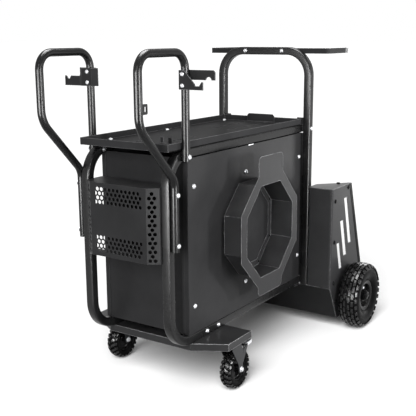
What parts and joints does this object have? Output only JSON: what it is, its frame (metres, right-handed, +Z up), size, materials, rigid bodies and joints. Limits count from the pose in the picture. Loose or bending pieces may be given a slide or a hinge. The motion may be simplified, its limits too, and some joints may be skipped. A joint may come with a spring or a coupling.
{
  "type": "welding cart",
  "caption": "Wheeled welding cart with a closed cabinet, lipped top tray, push handles, side cable drum, perforated front guard and a rear rack for gas bottles.",
  "frame": {"origin": "on the floor, under the middle of the bounding box", "axes": "+Z up, +Y towards the bottle rack at the rear, +X to the side with the cable drum"},
  "size_m": [0.82, 1.4076, 1.1447],
  "materials": {
    "powder_coat": "fine-textured satin black powder coat",
    "zinc_plate": "bright zinc plate",
    "rubber": "matt black rubber",
    "rim_paint": "semi-gloss black paint",
    "castor_steel": "dark plated steel"
  },
  "bodies": {
    "frame": {"axle_left": "zinc_plate", "axle_right": "zinc_plate", "bottle_guard": "powder_coat", "cabinet_floor": "powder_coat", "cabinet_front_panel": "powder_coat", "cabinet_rear_panel": "powder_coat", "cabinet_side_panel_left": "powder_coat", "cabinet_side_panel_right": "powder_coat", "cable_drum": "powder_coat", "castor_mount_left": "castor_steel", "castor_mount_right": "castor_steel", "castor_plate": "powder_coat", "front_guard": "powder_coat", "guard_bolt_left": "zinc_plate", "guard_bolt_right": "zinc_plate", "handle_bolt_lower_left": "zinc_plate", "handle_bolt_lower_right": "zinc_plate", "handle_bolt_rear_left": "zinc_plate", "handle_bolt_rear_right": "zinc_plate", "handle_bolt_upper_left": "zinc_plate", "handle_bolt_upper_right": "zinc_plate", "handle_left": "powder_coat", "handle_right": "powder_coat", "holder_bolt_lower_left": "zinc_plate", "holder_bolt_lower_right": "zinc_plate", "holder_bolt_upper_left": "zinc_plate", "holder_bolt_upper_right": "zinc_plate", "post_bolt_lower_left": "zinc_plate", "post_bolt_lower_right": "zinc_plate", "post_bolt_upper_left": "zinc_plate", "post_bolt_upper_right": "zinc_plate", "rack_base": "powder_coat", "rack_side_left": "powder_coat", "rack_side_right": "powder_coat", "rack_top_left": "powder_coat", "rack_top_right": "powder_coat", "rear_hoop": "powder_coat", "side_frame_left": "powder_coat", "side_frame_right": "powder_coat", "torch_holder_left_front": "powder_coat", "torch_holder_left_rear": "powder_coat", "torch_holder_right_front": "powder_coat", "torch_holder_right_rear": "powder_coat", "tray": "powder_coat", "tray_rear_stop": "powder_coat"},
    "rear_wheel_right": {"rear_rim_right": "rim_paint", "rear_tyre_right": "rubber"},
    "castor_swivel_right": {"castor_fork_right": "castor_steel", "castor_axle_right": "zinc_plate"},
    "castor_wheel_right": {"castor_rim_right": "rim_paint", "castor_tyre_right": "rubber"},
    "castor_brake_right": {"castor_pedal_right": "zinc_plate"},
    "rear_wheel_left": {"rear_rim_left": "rim_paint", "rear_tyre_left": "rubber"},
    "castor_swivel_left": {"castor_fork_left": "castor_steel", "castor_axle_left": "zinc_plate"},
    "castor_wheel_left": {"castor_rim_left": "rim_paint", "castor_tyre_left": "rubber"},
    "castor_brake_left": {"castor_pedal_left": "zinc_plate"}
  },
  "joints": [
    {"name": "rear_wheel_right_spin", "type": "hinge", "parent": "frame", "child": "rear_wheel_right", "pos_m": [0.37, 0.50685, 0.133], "axis": [1, 0, 0], "continuous": true},
    {"name": "castor_right_swivel", "type": "hinge", "parent": "frame", "child": "castor_swivel_right", "pos_m": [0.247, -0.30165, 0], "axis": [0, 0, 1], "continuous": true},
    {"name": "castor_right_spin", "type": "hinge", "parent": "castor_swivel_right", "child": "castor_wheel_right", "pos_m": [0.247, -0.27465, 0.071], "axis": [1, 0, 0], "continuous": true},
    {"name": "castor_right_brake", "type": "hinge", "parent": "castor_swivel_right", "child": "castor_brake_right", "pos_m": [0.247, -0.23865, 0.147], "axis": [-1, 0, 0], "range_deg": [0, 14]},
    {"name": "rear_wheel_left_spin", "type": "hinge", "parent": "frame", "child": "rear_wheel_left", "pos_m": [-0.37, 0.50685, 0.133], "axis": [1, 0, 0], "continuous": true},
    {"name": "castor_left_swivel", "type": "hinge", "parent": "frame", "child": "castor_swivel_left", "pos_m": [-0.247, -0.30165, 0], "axis": [0, 0, 1], "continuous": true},
    {"name": "castor_left_spin", "type": "hinge", "parent": "castor_swivel_left", "child": "castor_wheel_left", "pos_m": [-0.247, -0.27465, 0.071], "axis": [1, 0, 0], "continuous": true},
    {"name": "castor_left_brake", "type": "hinge", "parent": "castor_swivel_left", "child": "castor_brake_left", "pos_m": [-0.247, -0.23865, 0.147], "axis": [-1, 0, 0], "range_deg": [0, 14]}
  ]
}
